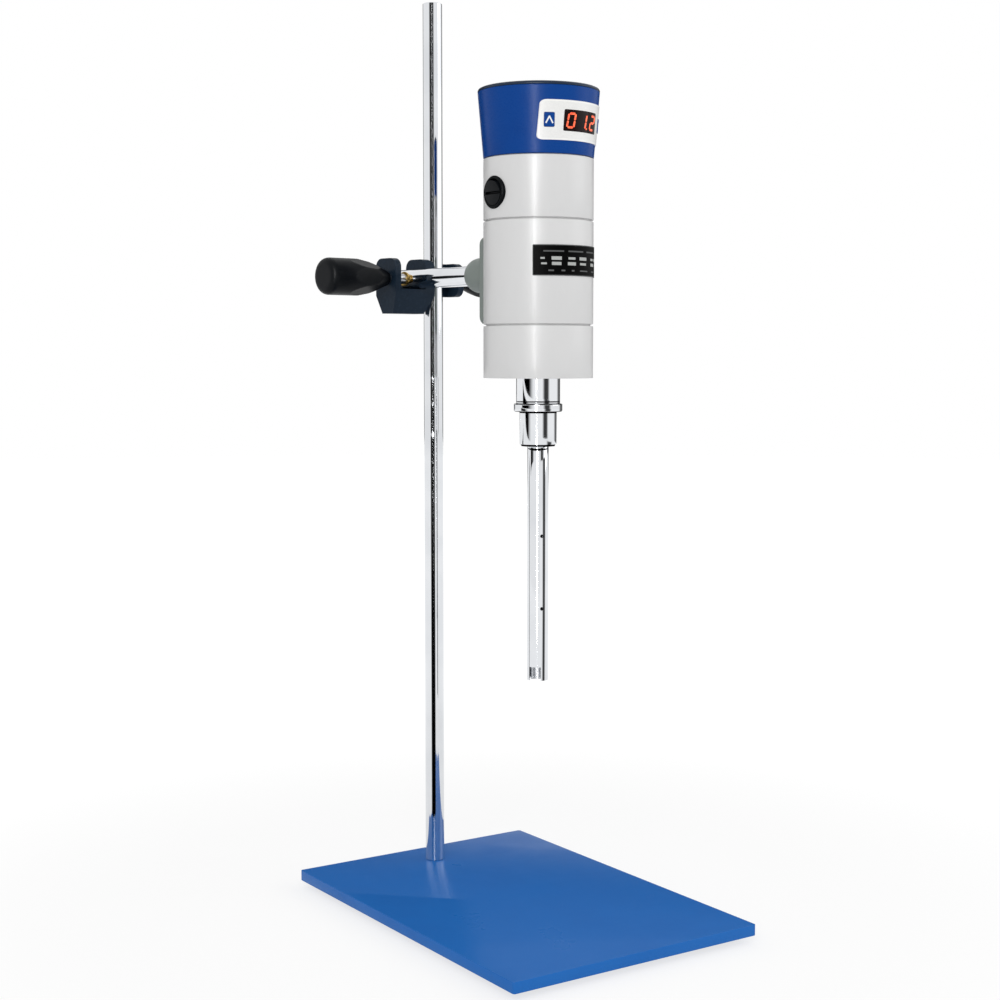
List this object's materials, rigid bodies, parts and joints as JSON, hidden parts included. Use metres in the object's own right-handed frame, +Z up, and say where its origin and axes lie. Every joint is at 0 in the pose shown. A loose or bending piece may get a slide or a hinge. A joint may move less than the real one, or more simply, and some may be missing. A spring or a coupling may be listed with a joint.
{
  "type": "rotor stator homogenizer",
  "caption": "Bench homogenizer: motor unit with speed display and slotted stator tool, held by an arm in a two-screw clamp on a rod stand.",
  "frame": {"origin": "on the bench, under the centre of the base plate", "axes": "+Z up, -Y towards the operator (the display's side), +X to the operator's right, stand rod at the back"},
  "size_m": [0.21, 0.3, 0.692],
  "materials": {
    "plate_paint": "glossy blue enamel on steel plate",
    "rubber": "matt black moulded rubber",
    "chrome": "polished plated or stainless steel",
    "steel": "machined steel",
    "lamination": "stacked electrical steel",
    "cast_navy": "dark navy enamel on a casting",
    "knob_black": "satin black moulding",
    "black_plastic": "black moulding",
    "brass": "machined brass",
    "socket_grey": "satin grey paint",
    "body_white": "smooth white enamel on aluminium",
    "head_blue": "blue moulding",
    "panel_film": "printed polyester film",
    "window": "tinted acrylic",
    "display_black": "black display face with red segments",
    "board": "solder-masked laminate",
    "rating_black": "black anodised foil plate",
    "copper": "enamelled copper",
    "carbon": "pressed carbon",
    "bush_plastic": "white bearing plastic"
  },
  "bodies": {
    "base": {"base_plate": "plate_paint", "rubber_feet": "rubber", "foot_screws": "steel"},
    "rod": {"stand_rod": "chrome", "rod_screw": "steel"},
    "clamp": {"clamp_casting": "cast_navy"},
    "arm_pad": {"arm_pad": "brass"},
    "arm_knob": {"arm_clamp_screw": "steel", "arm_clamp_knob": "knob_black"},
    "rod_pad": {"rod_pad": "brass"},
    "rod_knob": {"rod_clamp_screw": "steel", "rod_clamp_knob": "knob_black"},
    "arm": {"support_arm": "chrome"},
    "unit": {"arm_socket": "socket_grey", "saddle_plate": "socket_grey", "saddle_screws": "steel", "lower_shell": "body_white", "middle_shell": "body_white", "upper_shell": "body_white", "head_shell": "head_blue", "top_lid": "black_plastic", "display_panel": "panel_film", "display_window": "window", "display_module": "display_black", "control_board": "board", "board_bracket": "steel", "switch_bezel": "black_plastic", "rating_plate": "rating_black", "cord_gland": "black_plastic", "gland_nut": "black_plastic", "neck": "chrome", "neck_screws": "steel", "lower_bracket": "steel", "upper_bracket": "steel", "lower_bearing": "steel", "upper_bearing": "steel", "tie_bolts": "steel", "field_core": "lamination", "field_coils": "copper", "brush_holders": "brass", "carbon_brushes": "carbon", "brush_springs": "steel"},
    "up_button": {"up_button": "head_blue"},
    "down_button": {"down_button": "head_blue"},
    "rocker": {"switch_rocker": "black_plastic"},
    "rotor": {"motor_shaft": "steel", "armature_core": "lamination", "armature_winding": "copper", "commutator": "copper", "cooling_fan": "black_plastic", "drive_socket": "steel"},
    "tool": {"tool_collar": "chrome", "stator_tube": "chrome", "tool_bushes": "bush_plastic", "shaft_seal": "rubber"},
    "lock_ring": {"lock_ring": "chrome"},
    "tool_rotor": {"drive_shaft": "steel", "rotor_blades": "steel"}
  },
  "joints": [
    {"name": "stand_swing", "type": "hinge", "parent": "base", "child": "rod", "pos_m": [0, 0.1175, 0.014], "axis": [0, 0, 1], "continuous": true},
    {"name": "clamp_height", "type": "slide", "parent": "rod", "child": "clamp", "axis": [0, 0, 1], "range_m": [-0.125, 0.185]},
    {"name": "arm_reach", "type": "slide", "parent": "clamp", "child": "arm", "axis": [0.1249, -0.9922, 0], "range_m": [-0.045, 0.012]},
    {"name": "unit_tilt", "type": "hinge", "parent": "arm", "child": "unit", "pos_m": [0, -0.02663, 0.479], "axis": [0.1249, -0.9922, 0], "range_deg": [-90, 90]},
    {"name": "arm_knob_turn", "type": "hinge", "parent": "arm_pad", "child": "arm_knob", "pos_m": [-0.0578, 0.11224, 0.479], "axis": [-0.9922, -0.1249, 0], "range_deg": [-5, 365]},
    {"name": "arm_pad_travel", "type": "slide", "parent": "clamp", "child": "arm_pad", "axis": [-0.9922, -0.1249, 0], "range_m": [0, 0.00125]},
    {"name": "rod_knob_turn", "type": "hinge", "parent": "rod_pad", "child": "rod_knob", "pos_m": [0.03969, 0.1225, 0.479], "axis": [0.9922, 0.1249, 0], "range_deg": [-5, 365]},
    {"name": "rod_pad_travel", "type": "slide", "parent": "clamp", "child": "rod_pad", "axis": [0.9922, 0.1249, 0], "range_m": [0, 0.00125]},
    {"name": "up_button_press", "type": "slide", "parent": "unit", "child": "up_button", "axis": [0.4198, 0.9033, 0.088], "range_m": [0, 0.0006], "stiffness_N_per_m": 400, "springref_m": -0.001},
    {"name": "down_button_press", "type": "slide", "parent": "unit", "child": "down_button", "axis": [-0.7661, 0.6366, 0.088], "range_m": [0, 0.0006], "stiffness_N_per_m": 400, "springref_m": -0.001},
    {"name": "power_rocker", "type": "hinge", "parent": "unit", "child": "rocker", "pos_m": [-0.03746, -0.02838, 0.534], "axis": [0.0467, -0.9989, 0], "range_deg": [-16, 0]},
    {"name": "motor_spin", "type": "hinge", "parent": "unit", "child": "rotor", "pos_m": [0, -0.02663, 0.4635], "axis": [0, 0, 1], "continuous": true},
    {"name": "tool_release", "type": "slide", "parent": "unit", "child": "tool", "axis": [0, 0, -1], "range_m": [0, 0.04]},
    {"name": "lock_ring_turn", "type": "hinge", "parent": "tool", "child": "lock_ring", "pos_m": [0, -0.02663, 0.3825], "axis": [0, 0, -1], "range_deg": [0, 720]},
    {"name": "tool_spin", "type": "hinge", "parent": "tool", "child": "tool_rotor", "pos_m": [0, -0.02663, 0.3035], "axis": [0, 0, 1], "continuous": true}
  ],
  "couplings": [
    {"joint": "arm_knob_turn", "follows": "arm_pad_travel", "rad_per_m": 5026.5},
    {"joint": "rod_knob_turn", "follows": "rod_pad_travel", "rad_per_m": 5026.5},
    {"joint": "tool_spin", "follows": "motor_spin", "ratio": 1}
  ]
}
